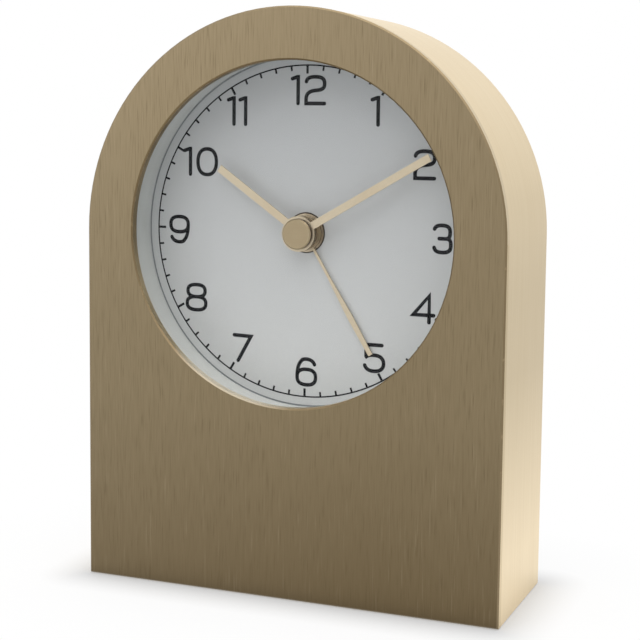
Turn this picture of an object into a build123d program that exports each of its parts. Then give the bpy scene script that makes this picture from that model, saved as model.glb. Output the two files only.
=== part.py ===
from build123d import *
from math import cos, radians, sin
import os

# Arch-topped mantel alarm clock, in millimetres.
# X runs to the right of someone facing the dial, Y from the front to the back, Z up.
# The origin is under the middle of the case, on the surface that it stands on.

# Case
case_width = 100.0
case_height = 132.0
case_depth = 35.0
case_wall = 1.6
plate_thick = 2.0
plate_edge_break = 0.35

# Clearances: a loose seat, a sliding seat and the radial play of a turning shaft
seat_gap = 0.3
slide_gap = 0.2
shaft_play = 0.05
pivot_play = 0.03
cut_overrun = 1.0

# Lens, reflector ring and dial behind the aperture
lens_thick = 1.5
ring_post_gap = 0.7
ring_wall = 1.8
aperture_lip = 1.7
dial_depth = 11.5
dial_thick = 0.5
carrier_thick = 1.2
carrier_margin = 0.6

# Posts that are moulded into the case wall, and their screws
post_radius = 3.0
post_inset = 4.4
post_web = 3.0
cover_post_angle = 65.0
carrier_post_angle = 15.0
carrier_post_lift = 9.9
screw_radius = 1.0
screw_head_radius = 1.75
screw_head_thick = 1.0
screw_length = 7.0
screw_slot_long = 2.2
screw_slot_wide = 0.5
screw_slot_deep = 0.5
head_room = 0.1

# Back cover and the recess around the setting knobs
cover_thick = 2.0
cover_sink = 0.5
well_half_width = 22.0
well_half_height = 10.5
well_gap = 0.5
well_wall = 1.6
well_corner = 2.5
arbor_window = 1.5

# Battery, its tray and its door
battery_radius = 7.1
battery_length = 49.2
battery_nub_radius = 2.7
battery_nub_length = 1.3
spring_room = 5.5
tray_half_height = 7.8
tray_wall = 1.4
tray_floor_thick = 1.5
door_thick = 1.2
door_overlap = 2.5
door_half_height = 9.6
door_corner = 1.5
door_rib_reach = 3.0
door_rib_thick = 1.2
door_rib_wide = 8.0
door_rib_place = 15.0
door_groove_deep = 0.4
door_groove_wide = 1.2
door_groove_half_length = 9.0
door_groove_spacing = 2.6
door_grooves = 5
thumb_notch_radius = 5.0
contact_thick = 0.5
contact_half_size = 4.0
spring_wire_radius = 0.35
spring_radius = 3.2
spring_turns = 3.5
lead_radius = 0.4
battery_lead_places = (19.5, 23.5)

# Sounder below the knobs
sounder_x = 16.0
sounder_drop = 23.0
sounder_ring_inner = 8.8
sounder_ring_wall = 1.2
sounder_reach_share = 0.325
sounder_disc_thick = 0.3
sounder_element_radius = 6.0
sounder_element_thick = 0.25
sound_hole_radius = 0.8
sound_hole_circle = 4.0
sound_holes = 6
sounder_lead_spacing = 2.0
lead_reach_on_board = 4.5
lead_window = 0.8

# Alarm switch in the back cover, its depths in shares of the room behind the movement
switch_depth_shares = {"play": 0.013, "base": 0.156, "rail": 0.416, "board": 0.104, "leaf": 0.208}
switch_x = 20.0
switch_rise = 22.0
switch_tab_long = 4.0
switch_tab_high = 3.2
switch_tab_sink = 0.1
switch_travel = 4.0
switch_base_long = 12.0
switch_base_high = 8.0
switch_rail_long = 16.0
switch_rail_thick = 1.2
switch_leaf_thick = 0.2
switch_leaf_long = 8.0
switch_leaf_high = 3.0
switch_lead_spacing = 4.0

# Movement housing
housing_half = 28.0
housing_corner = 3.0
housing_wall = 1.2
lid_thick = 1.2
lid_rim_thick = 1.0
lid_rim_reach = 0.6
hook_thick = 1.5
hook_wide = 8.0
hook_lip = 1.5
hook_place = 12.0
hook_head = 1.2
bearing_deep = 0.8

# Wheels and pinions: teeth and modules, each pair sharing its centre distance
wheel_thick = 0.6
level_gap = 0.3
pinion_overhang = 0.1
cannon_teeth = 12
setting_teeth = 36
setting_pinion_teeth = 10
hour_teeth = 40
motion_module = 0.4
alarm_teeth = 40
alarm_pinion_teeth = 12
alarm_module = 0.4
centre_teeth = 60
third_pinion_teeth = 8
centre_module = 0.28
third_teeth = 64
second_pinion_teeth = 8
second_teeth = 48
intermediate_pinion_teeth = 8
second_module = 0.25
intermediate_teeth = 40
rotor_pinion_teeth = 8
rotor_module = 0.2

# Tooth form in shares of the module, and half widths in shares of the tooth pitch
wheel_tooth_shares = {"tip": 0.8, "root": 1.15, "half_root": 0.27, "half_tip": 0.14}
pinion_tooth_shares = {"tip": 0.7, "root": 1.15, "half_root": 0.2, "half_tip": 0.16}

# Shafts and tubes on the dial axis, from the inside out
second_arbor_radius = 0.35
cannon_wall = 0.5
hour_tube_wall = 0.6
alarm_tube_wall = 0.6
bush_wall = 1.1
pivot_radius = 0.45
setting_arbor_radius = 0.8

# Stepping motor
magnet_radius = 2.6
magnet_length = 2.0
magnet_air_gap = 0.5
stator_half_width = 12.0
stator_thick = 0.7
stator_top_margin = 0.6
stator_bridge = 1.3
stator_leg_width = 3.4
stator_foot = 24.0
core_drop = 21.7
core_half_height = 1.2
core_thick = 0.6
sleeve_thick = 0.4
flange_thick = 0.8
coil_half_length = 8.2
coil_half_depth = 1.3
coil_half_height = 3.0
winding_margin = 0.1
motor_post_radius = 1.2

# Bridge that carries the front pivots of the motor train
bridge_half_width = 12.0
bridge_top = 4.0
bridge_bottom = 17.0
bridge_post_x = 10.5
bridge_post_drop = 14.0

# Circuit board with its quartz crystal and chip
board_left = 14.0
board_right = 26.0
board_half_height = 25.0
board_thick = 0.8
board_post_rise = 18.0
crystal_radius = 1.0
crystal_length = 6.0
crystal_x = 23.0
crystal_drop = 8.0
chip_half_size = 2.5
chip_thick = 1.0
chip_x = 20.0
chip_drop = 0.0

# Setting knobs
time_knob_radius = 7.0
alarm_knob_radius = 5.5
knob_lift_share = 0.1
knob_sink_share = 0.08
knob_cap_share = 0.1
knob_dish_share = 0.62
knob_dish_sink_share = 0.4
knob_notches = 24
knob_notch_radius = 0.35
knob_edge_break = 0.5

# Hands: gaps from tip to reflector ring, widths, angles clockwise from twelve
minute_hand_gap = 4.75
hour_hand_gap = 15.25
alarm_hand_gap = 8.7
hand_width = 1.7
alarm_hand_width = 1.3
hand_thick = 0.3
minute_hand_angle = 60.0
hour_hand_angle = 305.0
alarm_hand_angle = 148.9
hand_hub_radius = 4.0
hour_hub_thick = 0.6
bush_proud = 0.15
alarm_hand_lift = 0.45
hour_hand_lift = 2.95
minute_hand_lift = 4.35
cap_radius = 3.45
cap_thick = 1.15
cap_edge_break = 0.3
arbor_recess = 0.25

# Outlines of the hands: shares of the length from the dial axis, with shares of the width there
bar_hand_shares = ((0, 1), (1, 1))
alarm_hand_shares = ((0, 0.42), (0.38, 0.46), (0.68, 1), (1, 0.8))

# Depths from the front of the case to the back
case_front = -case_depth / 2
case_back = case_depth / 2
plate_back = case_front + plate_thick
lens_back = plate_back + lens_thick
dial_front = case_front + dial_depth
dial_back = dial_front + dial_thick
housing_front = dial_back + carrier_thick
housing_inner = housing_front + housing_wall
cover_back = case_back - cover_sink
cover_front = cover_back - cover_thick
dial_z = case_height - case_width / 2

# Radii behind the aperture
ring_outer_radius = case_width / 2 - post_inset - post_radius - ring_post_gap
ring_inner_radius = ring_outer_radius - ring_wall
aperture_radius = ring_inner_radius - aperture_lip

# Depths of the wheels, one level behind the other
alarm_front = housing_inner + level_gap
alarm_back = alarm_front + wheel_thick
hour_front = alarm_back + level_gap
hour_back = hour_front + wheel_thick
cannon_front = hour_back + level_gap
cannon_back = cannon_front + wheel_thick
centre_front = cannon_back + level_gap
centre_back = centre_front + wheel_thick
third_front = centre_back + level_gap
third_back = third_front + wheel_thick
second_front = third_back + level_gap
second_back = second_front + wheel_thick
intermediate_front = second_back + level_gap
intermediate_back = intermediate_front + wheel_thick
magnet_front = intermediate_back + level_gap
magnet_back = magnet_front + magnet_length
lid_front = magnet_back + 2 * level_gap
lid_back = lid_front + lid_thick
stator_front = (magnet_front + magnet_back - stator_thick) / 2
stator_back = stator_front + stator_thick
core_front = stator_front - core_thick
board_front = core_front
board_back = board_front + board_thick

# Depths behind the movement: the recess for the knobs, the tray and the switch
well_front = lid_back + well_gap
well_back = well_front + well_wall
well_depth = cover_back - well_back
knob_front = well_back + knob_lift_share * well_depth
knob_back = cover_back - knob_sink_share * well_depth
knob_bore_back = knob_back - knob_cap_share * well_depth
knob_dish_front = knob_back - knob_dish_sink_share * (knob_back - knob_bore_back)
door_front = cover_back - door_thick
battery_axis_depth = door_front - battery_radius - door_thick
tray_floor = battery_axis_depth - battery_radius - slide_gap
tray_front = tray_floor - tray_floor_thick
tray_centre_height = (case_wall + dial_z - housing_half) / 2
tray_half_length = (battery_length + battery_nub_length + spring_room) / 2 + contact_thick
door_half_length = tray_half_length + door_overlap
back_room = cover_front - lid_back
switch_base_back = cover_front - switch_depth_shares["play"] * back_room
switch_base_front = switch_base_back - switch_depth_shares["base"] * back_room
switch_board_back = cover_front - switch_depth_shares["rail"] * back_room
switch_board_front = switch_board_back - switch_depth_shares["board"] * back_room
switch_leaf_back = switch_board_back + switch_depth_shares["leaf"] * back_room
sounder_disc_back = cover_front - sounder_reach_share * back_room
sounder_disc_front = sounder_disc_back - sounder_disc_thick

# Depths of the hands in front of the dial
alarm_hand_back = dial_front - alarm_hand_lift
hour_hand_back = dial_front - hour_hand_lift
minute_hand_back = dial_front - minute_hand_lift
minute_hand_front = minute_hand_back - hand_thick
cap_front = minute_hand_front - cap_thick

# Radii of the tubes on the dial axis
cannon_bore = second_arbor_radius + shaft_play
cannon_radius = cannon_bore + cannon_wall
hour_bore = cannon_radius + shaft_play
hour_tube_radius = hour_bore + hour_tube_wall
alarm_bore = hour_tube_radius + shaft_play
alarm_tube_radius = alarm_bore + alarm_tube_wall
bush_bore = alarm_tube_radius + shaft_play
bush_radius = bush_bore + bush_wall

# Shaft places around the dial axis, as (x, z)
setting_distance = (cannon_teeth + setting_teeth) * motion_module / 2
hour_module = 2 * setting_distance / (hour_teeth + setting_pinion_teeth)
alarm_distance = (alarm_teeth + alarm_pinion_teeth) * alarm_module / 2
third_distance = (centre_teeth + third_pinion_teeth) * centre_module / 2
third_module = 2 * third_distance / (third_teeth + second_pinion_teeth)
intermediate_distance = (second_teeth + intermediate_pinion_teeth) * second_module / 2
rotor_distance = (intermediate_teeth + rotor_pinion_teeth) * rotor_module / 2
dial_axis = (0, dial_z)
setting_axis = (-setting_distance, dial_z)
alarm_axis = (alarm_distance, dial_z)
third_axis = (0, dial_z + third_distance)
intermediate_axis = (0, dial_z - intermediate_distance)
rotor_axis = (0, dial_z - intermediate_distance - rotor_distance)
sounder_place = (sounder_x, dial_z - sounder_drop)
switch_z = dial_z + switch_rise


# Basic shapes

def slab(outline, front, back):
    """An outline drawn in X and Z, made solid from one depth to another."""
    return extrude(Plane.XZ.offset(-back) * outline, amount=back - front, dir=(0, -1, 0))


def disc(radius, front, back, place=dial_axis):
    return slab(Pos(*place) * Circle(radius), front, back)


def tube(radius, bore, front, back, place=dial_axis):
    return slab(Pos(*place) * (Circle(radius) - Circle(bore)), front, back)


def block(x_low, x_high, front, back, z_low, z_high):
    outline = Pos((x_low + x_high) / 2, (z_low + z_high) / 2) * Rectangle(x_high - x_low, z_high - z_low)
    return slab(outline, front, back)


def arch_outline(inset, foot):
    """The outline of the case, drawn in by an inset and standing on the height foot."""
    half = case_width / 2 - inset
    sides = Polyline((-half, dial_z), (-half, foot), (half, foot), (half, dial_z))
    top = ThreePointArc((half, dial_z), (0, dial_z + half), (-half, dial_z))
    return make_face(sides + top)


def post_outline(place, growth):
    """A round post joined to the case wall by a web; place is x, z and the direction of the wall."""
    x, z, direction = place
    reach = post_inset - case_wall / 2
    web = Pos(reach / 2, 0) * Rectangle(reach, post_web + 2 * growth)
    return Pos(x, z) * (Circle(post_radius + growth) + Rot(0, 0, direction) * web)


def wall_posts(arch_angle, straight_height):
    """Two places on the arch and two on the straight sides, each as x, z and direction."""
    places = []
    arm = case_width / 2 - post_inset
    for direction in (arch_angle, 180 - arch_angle):
        turn = radians(direction)
        places.append((arm * cos(turn), dial_z + arm * sin(turn), direction))
    for direction, side in ((0, 1), (180, -1)):
        places.append((side * arm, straight_height, direction))
    return places


cover_posts = wall_posts(cover_post_angle, post_inset)
carrier_posts = wall_posts(carrier_post_angle, dial_z - ring_outer_radius + carrier_post_lift)


def screw(place, seat):
    """A pan-head screw driven towards the front, its head resting on the depth seat."""
    head = disc(screw_head_radius, seat, seat + screw_head_thick, place[:2])
    shank = disc(screw_radius, seat - screw_length, seat, place[:2])
    cross = Rectangle(screw_slot_long, screw_slot_wide) + Rectangle(screw_slot_wide, screw_slot_long)
    slot_floor = seat + screw_head_thick - screw_slot_deep
    return head + shank - slab(Pos(*place[:2]) * cross, slot_floor, slot_floor + cut_overrun)


def toothed(teeth, module, shares, front, back, place, turn):
    """A spur wheel with straight-flanked teeth, one of them centred on the angle turn."""
    pitch = 360 / teeth
    tip = (teeth / 2 + shares["tip"]) * module
    root = (teeth / 2 - shares["root"]) * module
    flank = (
        (root, -shares["half_root"]),
        (tip, -shares["half_tip"]),
        (tip, shares["half_tip"]),
        (root, shares["half_root"]),
    )
    corners = []
    for tooth in range(teeth):
        for radius, swing in flank:
            angle = radians(turn + (tooth + swing) * pitch)
            corners.append((radius * cos(angle), radius * sin(angle)))
    return slab(Pos(*place) * Polygon(*corners, align=None), front, back)


def meshed_turn(turn, teeth, other_teeth, direction):
    """The turn that puts a gap of the other wheel opposite each tooth of this one."""
    offset = (turn - direction) * teeth / 360
    return direction + 180 + (0.5 - offset) * 360 / other_teeth


# Turn of each wheel, so that every pair is in mesh at rest
toward_left, toward_right, upward, downward = 180, 0, 90, 270
cannon_turn = 0
setting_turn = meshed_turn(cannon_turn, cannon_teeth, setting_teeth, toward_left)
setting_pinion_turn = 0
hour_turn = meshed_turn(setting_pinion_turn, setting_pinion_teeth, hour_teeth, toward_right)
alarm_turn = 0
alarm_pinion_turn = meshed_turn(alarm_turn, alarm_teeth, alarm_pinion_teeth, toward_right)
centre_turn = 0
third_pinion_turn = meshed_turn(centre_turn, centre_teeth, third_pinion_teeth, upward)
third_turn = 0
second_pinion_turn = meshed_turn(third_turn, third_teeth, second_pinion_teeth, downward)
second_turn = 0
intermediate_pinion_turn = meshed_turn(second_turn, second_teeth, intermediate_pinion_teeth, downward)
intermediate_turn = 0
rotor_pinion_turn = meshed_turn(intermediate_turn, intermediate_teeth, rotor_pinion_teeth, downward)


# Case and dial

def front_plate():
    plate = slab(arch_outline(0, 0) - Pos(*dial_axis) * Circle(aperture_radius), case_front, plate_back)
    return chamfer(plate.edges().group_by(Axis.Y)[0], plate_edge_break)


def case_band():
    """The wall that runs round the arch, the sides and the base, with its posts."""
    band = slab(arch_outline(0, 0) - arch_outline(case_wall, case_wall), plate_back, case_back)
    for place in cover_posts:
        band += slab(post_outline(place, 0), plate_back, cover_front)
        band -= disc(screw_radius, cover_front - screw_length, cover_front + cut_overrun, place[:2])
    for place in carrier_posts:
        band += slab(post_outline(place, 0), plate_back, dial_back)
        band -= disc(screw_radius, dial_back - screw_length, dial_back + cut_overrun, place[:2])
    return band


def lens():
    return disc(ring_outer_radius, plate_back, lens_back)


def reflector_ring():
    return tube(ring_outer_radius, ring_inner_radius, lens_back, dial_front)


def dial():
    return tube(ring_outer_radius, bush_radius + shaft_play, dial_front, dial_back)


def dial_carrier():
    """A plate behind the dial, screwed to the case posts, with four hooks round the movement."""
    inset = case_wall + seat_gap
    foot = dial_z - ring_outer_radius - carrier_margin
    carrier = slab(arch_outline(inset, foot), dial_back, housing_front)
    for place in cover_posts:
        carrier -= slab(post_outline(place, seat_gap), dial_back - cut_overrun, housing_front + cut_overrun)
    for place in carrier_posts:
        hole = disc(screw_radius + slide_gap, dial_back - cut_overrun, housing_front + cut_overrun, place[:2])
        carrier -= hole
    carrier -= disc(bush_radius + shaft_play, dial_back - cut_overrun, housing_front + cut_overrun)
    hook_inner = housing_half + slide_gap
    lip_front = lid_back + head_room
    for side in (-1, 1):
        for rise in (-hook_place, hook_place):
            z = dial_z + rise
            stem_middle = side * (hook_inner + hook_thick / 2)
            lip_middle = side * (housing_half - hook_lip + hook_inner + hook_thick) / 2
            lip_long = hook_inner + hook_thick - housing_half + hook_lip
            stem = Pos(stem_middle, z) * Rectangle(hook_thick, hook_wide)
            lip = Pos(lip_middle, z) * Rectangle(lip_long, hook_wide)
            carrier += slab(stem, housing_front, lip_front + hook_head)
            carrier += slab(lip, lip_front, lip_front + hook_head)
    return carrier


def carrier_screws():
    return Compound(children=[screw(place, housing_front) for place in carrier_posts])


# Back cover with the knob recess, the battery tray, the sounder ring and the switch rails

def cover_plate():
    """The bare cover: a plate inside the case wall, bored for its sunk screws."""
    inset = case_wall + seat_gap / 2
    plate = slab(arch_outline(inset, inset), cover_front, cover_back)
    seat = cover_back - screw_head_thick
    for place in cover_posts:
        plate -= disc(screw_radius + slide_gap, cover_front - cut_overrun, cover_back, place[:2])
        plate -= disc(screw_head_radius + head_room, seat, cover_back + cut_overrun, place[:2])
    return plate


def well_outline(growth):
    wide = 2 * (well_half_width + growth)
    high = 2 * (well_half_height + growth)
    return Pos(*dial_axis) * RectangleRounded(wide, high, well_corner + growth)


def knob_well(cover):
    cover += slab(well_outline(well_wall), well_front, cover_back)
    cover -= slab(well_outline(0), well_back, cover_back + cut_overrun)
    for place in (setting_axis, alarm_axis):
        cover -= disc(arbor_window, well_front - cut_overrun, well_back + cut_overrun, place)
    return cover


def battery_tray(cover):
    z = tray_centre_height
    outer_x = tray_half_length + tray_wall
    outer_z = tray_half_height + tray_wall
    cover += block(-outer_x, outer_x, tray_front, door_front, z - outer_z, z + outer_z)
    inner = block(-tray_half_length, tray_half_length, tray_floor, cover_back, z - tray_half_height,
                  z + tray_half_height)
    wide = 2 * (door_half_length + slide_gap)
    high = 2 * (door_half_height + slide_gap)
    rebate = Pos(0, z) * RectangleRounded(wide, high, door_corner + slide_gap)
    notch = Pos(0, z + door_half_height) * Circle(thumb_notch_radius)
    cover = cover - inner - slab(rebate + notch, door_front, cover_back + cut_overrun)
    return cover


def sounder_mount(cover):
    x, z = sounder_place
    outer = sounder_ring_inner + sounder_ring_wall
    cover += tube(outer, sounder_ring_inner, sounder_disc_back, cover_front, sounder_place)
    cover -= disc(sound_hole_radius, cover_front - cut_overrun, cover_back + cut_overrun, sounder_place)
    for hole in range(sound_holes):
        turn = radians(hole * 360 / sound_holes)
        centre = (x + sound_hole_circle * cos(turn), z + sound_hole_circle * sin(turn))
        cover -= disc(sound_hole_radius, cover_front - cut_overrun, cover_back + cut_overrun, centre)
    return cover


def switch_mount(cover):
    z = switch_z
    rail_inner = switch_base_high / 2 + slide_gap
    for side in (-1, 1):
        middle = z + side * (rail_inner + switch_rail_thick / 2)
        rail = Pos(switch_x, middle) * Rectangle(switch_rail_long, switch_rail_thick)
        cover += slab(rail, switch_board_back, cover_front)
    wide = switch_tab_long + switch_travel + 2 * slide_gap
    high = switch_tab_high + 2 * slide_gap
    slot = Pos(switch_x, z) * Rectangle(wide, high)
    return cover - slab(slot, cover_front - cut_overrun, cover_back + cut_overrun)


def back_cover():
    return switch_mount(sounder_mount(battery_tray(knob_well(cover_plate()))))


def cover_screws():
    seat = cover_back - screw_head_thick
    return Compound(children=[screw(place, seat) for place in cover_posts])


def battery_door():
    """A lift-off door with grip grooves outside and two pairs of locating ribs inside."""
    z = tray_centre_height
    outline = Pos(0, z) * RectangleRounded(2 * door_half_length, 2 * door_half_height, door_corner)
    door = slab(outline, door_front, cover_back)
    rib_middle = tray_half_height - slide_gap - door_rib_thick / 2
    for x in (-door_rib_place, door_rib_place):
        for side in (-1, 1):
            rib = Pos(x, z + side * rib_middle) * Rectangle(door_rib_wide, door_rib_thick)
            door += slab(rib, door_front - door_rib_reach, door_front)
    for groove in range(door_grooves):
        rise = (groove - (door_grooves - 1) / 2) * door_groove_spacing
        line = Pos(0, z + rise) * Rectangle(2 * door_groove_half_length, door_groove_wide)
        door -= slab(line, cover_back - door_groove_deep, cover_back + cut_overrun)
    return door


# Battery, contacts, leads and sounder

def along_x(radius, x_low, x_high):
    """A round bar along X on the battery's axis."""
    start = Plane(origin=(x_low, battery_axis_depth, tray_centre_height), z_dir=(1, 0, 0))
    return extrude(start * Circle(radius), amount=x_high - x_low, dir=(1, 0, 0))


contact_face = tray_half_length - contact_thick
battery_shoulder = contact_face - battery_nub_length
battery_end = battery_shoulder - battery_length


def battery():
    nub = along_x(battery_nub_radius, battery_shoulder, contact_face)
    return along_x(battery_radius, battery_end, battery_shoulder) + nub


def contact_plate(x_low):
    y, z, half = battery_axis_depth, tray_centre_height, contact_half_size
    return block(x_low, x_low + contact_thick, y - half, y + half, z - half, z + half)


def battery_contact():
    return contact_plate(contact_face)


def battery_spring():
    """A plate on the tray's end wall and a coil that presses on the battery's flat end."""
    plate = contact_plate(-tray_half_length)
    coil_start = -contact_face
    coil_length = battery_end - coil_start
    height = coil_length - 2 * spring_wire_radius
    base = Plane(
        origin=(coil_start + spring_wire_radius, battery_axis_depth, tray_centre_height),
        x_dir=(0, 0, 1),
        z_dir=(1, 0, 0),
    )
    path = base * Helix(pitch=height / spring_turns, height=height, radius=spring_radius)
    section = Plane(origin=path @ 0, z_dir=path % 0) * Circle(spring_wire_radius)
    coil = sweep(section, path=path, is_frenet=True)
    foot = base.offset(-spring_wire_radius) * Pos(spring_radius, 0) * Circle(spring_wire_radius)
    return plate + extrude(foot, amount=spring_wire_radius, dir=(1, 0, 0)) + coil


def battery_leads():
    """Two leads from the top of the tray to the back of the circuit board."""
    start = tray_centre_height + tray_half_height + tray_wall
    end = dial_z - board_half_height + lead_reach_on_board
    leads = []
    for x in battery_lead_places:
        base = Plane(origin=(x, board_back + lead_radius, start), z_dir=(0, 0, 1))
        leads.append(extrude(base * Circle(lead_radius), amount=end - start))
    return Compound(children=leads)


def sounder_disc():
    radius = sounder_ring_inner + sounder_ring_wall / 2
    return disc(radius, sounder_disc_front, sounder_disc_back, sounder_place)


sounder_element_front = sounder_disc_front - sounder_element_thick


def sounder_element():
    return disc(sounder_element_radius, sounder_element_front, sounder_disc_front, sounder_place)


def lead_pair(middle, spacing, back):
    """Two straight leads side by side, from the back of the circuit board through the movement lid."""
    x, z = middle
    sides = (-spacing / 2, spacing / 2)
    return Compound(children=[disc(lead_radius, board_back, back, (x + side, z)) for side in sides])


def sounder_leads():
    return lead_pair(sounder_place, sounder_lead_spacing, sounder_element_front)


# Alarm switch

def alarm_switch():
    """A slider behind the cover with a tab through the slot, at the left end of its travel."""
    x = switch_x - switch_travel / 2
    base = Pos(x, switch_z) * Rectangle(switch_base_long, switch_base_high)
    tab = Pos(x, switch_z) * Rectangle(switch_tab_long, switch_tab_high)
    slider = slab(base, switch_base_front, switch_base_back)
    return slider + slab(tab, switch_base_back, cover_back - switch_tab_sink)


def switch_board():
    high = switch_base_high + 2 * slide_gap + 2 * switch_rail_thick
    outline = Pos(switch_x, switch_z) * Rectangle(switch_rail_long, high)
    return slab(outline, switch_board_front, switch_board_back)


def switch_leaf():
    """A bent strip between the board and the slider."""
    half = switch_leaf_long / 2
    high = switch_leaf_high / 2
    low, top = switch_board_back, switch_leaf_back
    strip = block(switch_x - half, switch_x + half, top - switch_leaf_thick, top, switch_z - high,
                  switch_z + high)
    for side in (-1, 1):
        edge = switch_x + side * (half - switch_leaf_thick / 2)
        leg = Pos(edge, switch_z) * Rectangle(switch_leaf_thick, switch_leaf_high)
        strip += slab(leg, low, top)
    return strip


def switch_leads():
    return lead_pair((switch_x, switch_z), switch_lead_spacing, switch_board_front)


# Movement housing

def housing_outline(inset):
    side = 2 * (housing_half - inset)
    return Pos(*dial_axis) * RectangleRounded(side, side, housing_corner - inset)


def pillar(radius, x, drop, back):
    """A post that stands on the inner face of the front housing."""
    return disc(radius, housing_inner, back, (x, dial_z - drop))


def housing():
    """The front half of the movement: a tray with a bush for the hands and posts for the train."""
    shell = slab(housing_outline(0), housing_front, lid_front)
    shell -= slab(housing_outline(housing_wall), housing_inner, lid_front + cut_overrun)
    shell += disc(bush_radius, dial_front - bush_proud, housing_front)
    shell -= disc(bush_bore, case_front, lid_front)
    for place in (setting_axis, alarm_axis, third_axis):
        shell -= disc(pivot_radius + pivot_play, housing_inner - bearing_deep, housing_inner, place)
    for side in (-1, 1):
        shell += pillar(motor_post_radius, side * bridge_post_x, bridge_post_drop, third_front)
        leg_middle = stator_half_width - stator_leg_width / 2
        shell += pillar(motor_post_radius, side * leg_middle, core_drop, core_front)
        board_middle = (board_left + board_right) / 2
        shell += pillar(motor_post_radius, board_middle, side * board_post_rise, board_front)
    floor = dial_z - housing_half
    low, high = floor - cut_overrun, floor + housing_wall + cut_overrun
    left, right = battery_lead_places
    middle = board_back + lead_radius
    return shell - block(left - lead_window, right + lead_window, middle - lead_window, middle + lead_window,
                         low, high)


def housing_lid():
    lid = slab(housing_outline(0), lid_front, lid_back)
    rim_inset = housing_wall + slide_gap / 2
    rim = housing_outline(rim_inset) - housing_outline(rim_inset + lid_rim_thick)
    lid += slab(rim, lid_front - lid_rim_reach, lid_front)
    for place in (setting_axis, alarm_axis):
        lid -= disc(setting_arbor_radius + shaft_play, lid_front - cut_overrun, lid_back + cut_overrun, place)
    for place in (dial_axis, third_axis, intermediate_axis, rotor_axis):
        play = pivot_radius + pivot_play
        lid -= disc(play, lid_front - cut_overrun, lid_front + bearing_deep, place)
    leads = (((switch_x, switch_z), switch_lead_spacing), (sounder_place, sounder_lead_spacing))
    for (x, z), spacing in leads:
        for side in (-spacing / 2, spacing / 2):
            lid -= disc(lead_window, lid_front - cut_overrun, lid_back + cut_overrun, (x + side, z))
    return lid


def train_bridge():
    """A plate on two posts with the front bearings of the rotor and the intermediate wheel."""
    plate = block(-bridge_half_width, bridge_half_width, third_front, third_back,
                  dial_z - bridge_bottom, dial_z - bridge_top)
    for place in (intermediate_axis, rotor_axis):
        play = pivot_radius + pivot_play
        plate -= disc(play, third_front - cut_overrun, third_back + cut_overrun, place)
    return plate


# Wheels and arbors

pivot_front = housing_inner - bearing_deep + head_room
pivot_back = lid_front + bearing_deep - head_room
bridge_pivot_front = third_front + head_room


def cannon_pinion():
    """The minute arbor: a tube from the minute hand to the friction seat of the centre wheel."""
    pinion = toothed(cannon_teeth, motion_module, pinion_tooth_shares, cannon_front - pinion_overhang,
                     cannon_back + pinion_overhang, dial_axis, cannon_turn)
    arbor = disc(cannon_radius, minute_hand_front, centre_back + pinion_overhang)
    return pinion + arbor - disc(cannon_bore, case_front, lid_front)


def setting_wheel():
    wheel = toothed(setting_teeth, motion_module, wheel_tooth_shares, cannon_front, cannon_back, setting_axis,
                    setting_turn)
    wheel += toothed(setting_pinion_teeth, hour_module, pinion_tooth_shares, hour_front - pinion_overhang,
                     cannon_front, setting_axis, setting_pinion_turn)
    wheel += disc(pivot_radius, pivot_front, lid_front - level_gap, setting_axis)
    return wheel + disc(setting_arbor_radius, lid_front - level_gap, knob_bore_back, setting_axis)


def hour_wheel():
    wheel = toothed(hour_teeth, hour_module, wheel_tooth_shares, hour_front, hour_back, dial_axis, hour_turn)
    wheel += disc(hour_tube_radius, hour_hand_back - hour_hub_thick, hour_back)
    return wheel - disc(hour_bore, case_front, lid_front)


def alarm_wheel():
    wheel = toothed(alarm_teeth, alarm_module, wheel_tooth_shares, alarm_front, alarm_back, dial_axis,
                    alarm_turn)
    wheel += disc(alarm_tube_radius, alarm_hand_back - hand_thick, alarm_back)
    return wheel - disc(alarm_bore, case_front, lid_front)


def alarm_setting_pinion():
    pinion = toothed(alarm_pinion_teeth, alarm_module, pinion_tooth_shares, alarm_front - pinion_overhang,
                     alarm_back + pinion_overhang, alarm_axis, alarm_pinion_turn)
    pinion += disc(pivot_radius, pivot_front, cannon_front, alarm_axis)
    return pinion + disc(setting_arbor_radius, cannon_front, knob_bore_back, alarm_axis)


def centre_wheel():
    wheel = toothed(centre_teeth, centre_module, wheel_tooth_shares, centre_front, centre_back, dial_axis,
                    centre_turn)
    return wheel - disc(cannon_radius + shaft_play, case_front, lid_front)


def third_wheel():
    wheel = toothed(third_teeth, third_module, wheel_tooth_shares, third_front, third_back, third_axis,
                    third_turn)
    wheel += toothed(third_pinion_teeth, centre_module, pinion_tooth_shares, centre_front - pinion_overhang,
                     third_front, third_axis, third_pinion_turn)
    return wheel + disc(pivot_radius, pivot_front, pivot_back, third_axis)


def second_wheel():
    """The seconds arbor, which runs inside the hollow minute arbor."""
    wheel = toothed(second_teeth, second_module, wheel_tooth_shares, second_front, second_back, dial_axis,
                    second_turn)
    pinion_front = third_front - pinion_overhang / 2
    wheel += toothed(second_pinion_teeth, third_module, pinion_tooth_shares, pinion_front, second_front,
                     dial_axis, second_pinion_turn)
    wheel += disc(pivot_radius, second_back, pivot_back)
    return wheel + disc(second_arbor_radius, minute_hand_front + arbor_recess, second_front)


def intermediate_wheel():
    wheel = toothed(intermediate_teeth, rotor_module, wheel_tooth_shares, intermediate_front,
                    intermediate_back, intermediate_axis, intermediate_turn)
    wheel += toothed(intermediate_pinion_teeth, second_module, pinion_tooth_shares,
                     second_front - pinion_overhang, intermediate_front, intermediate_axis,
                     intermediate_pinion_turn)
    return wheel + disc(pivot_radius, bridge_pivot_front, pivot_back, intermediate_axis)


def rotor_pinion():
    pinion = toothed(rotor_pinion_teeth, rotor_module, pinion_tooth_shares,
                     intermediate_front - pinion_overhang, intermediate_back + pinion_overhang, rotor_axis,
                     rotor_pinion_turn)
    return pinion + disc(pivot_radius, bridge_pivot_front, pivot_back, rotor_axis)


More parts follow.
